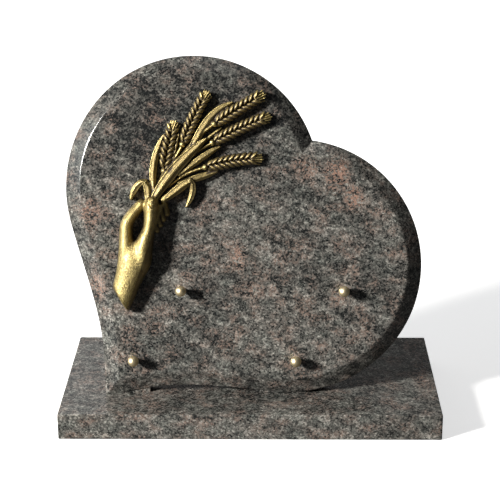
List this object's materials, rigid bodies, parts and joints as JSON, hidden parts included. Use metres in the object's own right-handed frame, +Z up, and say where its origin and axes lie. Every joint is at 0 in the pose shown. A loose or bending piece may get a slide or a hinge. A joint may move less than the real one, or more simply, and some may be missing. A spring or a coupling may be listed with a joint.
{
  "type": "grave plaque",
  "caption": "Granite heart leaning back on a granite base, with a cast bronze hand holding wheat and brass ball studs.",
  "frame": {"origin": "centre of the base slab's underside", "axes": "+X along the base's length, to the right of someone facing the plaque; +Y away from them, the way the heart leans; +Z up"},
  "size_m": [0.35, 0.175, 0.3267],
  "materials": {
    "granite": "polished, dark grey speckle with pinkish brown patches",
    "patinated_bronze": "cast bronze, dark in its hollows and rubbed bright on its high places",
    "polished_brass": "polished brass"
  },
  "bodies": {
    "root": {"base_slab": "granite", "heart_slab": "granite", "hand_and_wheat": "patinated_bronze", "stud_upper_left": "polished_brass", "stud_upper_right": "polished_brass", "stud_lower_left": "polished_brass", "stud_lower_right": "polished_brass"}
  },
  "joints": []
}
